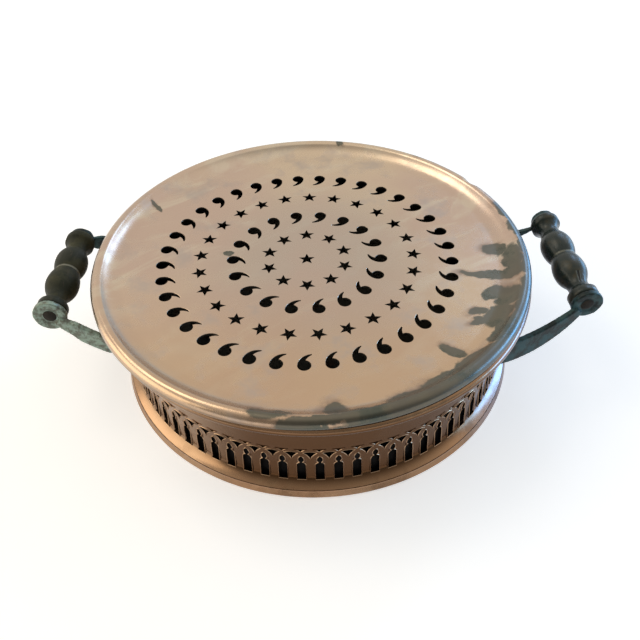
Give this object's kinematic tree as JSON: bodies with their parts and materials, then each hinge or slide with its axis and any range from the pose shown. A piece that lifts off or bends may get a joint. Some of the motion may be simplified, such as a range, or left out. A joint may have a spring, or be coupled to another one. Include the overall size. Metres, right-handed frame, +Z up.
{
  "type": "foot warmer",
  "caption": "Round copper foot warmer with a pierced loose lid, a pierced arcade wall, a lift-out ember pan inside and two turned wooden carrying grips.",
  "frame": {"origin": "on the drum's axis, on the plane the foot stands on", "axes": "+X towards the right grip, +Y away from the viewer, +Z up through the lid"},
  "size_m": [0.389, 0.309, 0.0895],
  "materials": {
    "lid_copper": "worn polished copper, pink tan with grey tarnish",
    "drum_copper": "browned copper, dull",
    "iron_wire": "plain drawn wire, hidden in the rolled edges",
    "arm_bronze": "dark cast bronze with green verdigris",
    "rod_iron": "dark forged rod with peened ends",
    "grip_wood": "ebonised turned wood, worn brown on the bulges",
    "pan_iron": "blackened sheet iron"
  },
  "bodies": {
    "drum": {"foot_ring": "drum_copper", "drum_floor": "drum_copper", "drum_gallery": "drum_copper", "drum_liner": "pan_iron", "drum_shoulder": "drum_copper", "drum_rim_wire": "iron_wire", "left_front_arm": "arm_bronze", "left_rear_arm": "arm_bronze", "right_front_arm": "arm_bronze", "right_rear_arm": "arm_bronze", "left_arm_rivets": "drum_copper", "right_arm_rivets": "drum_copper", "left_grip_rod": "rod_iron", "right_grip_rod": "rod_iron", "pan_trivet": "pan_iron"},
    "lid": {"lid_plate": "lid_copper", "lid_rim_wire": "iron_wire", "lid_collar": "lid_copper"},
    "pan": {"ember_pan": "pan_iron", "pan_left_tab": "pan_iron", "pan_right_tab": "pan_iron", "pan_rivets": "pan_iron"},
    "left_handle": {"left_grip": "grip_wood"},
    "right_handle": {"right_grip": "grip_wood"}
  },
  "joints": [
    {"name": "lid_lift", "type": "slide", "parent": "drum", "child": "lid", "axis": [0, 0, 1], "range_m": [0, 0.12]},
    {"name": "pan_lift", "type": "slide", "parent": "drum", "child": "pan", "axis": [0, 0, 1], "range_m": [0, 0.025]},
    {"name": "left_grip_spin", "type": "hinge", "parent": "drum", "child": "left_handle", "pos_m": [-0.17935, 0, 0.07472], "axis": [-0.0279, -0.9989, 0.0384], "continuous": true},
    {"name": "right_grip_spin", "type": "hinge", "parent": "drum", "child": "right_handle", "pos_m": [0.18035, 0, 0.07472], "axis": [0.1216, -0.9904, -0.0663], "continuous": true}
  ]
}
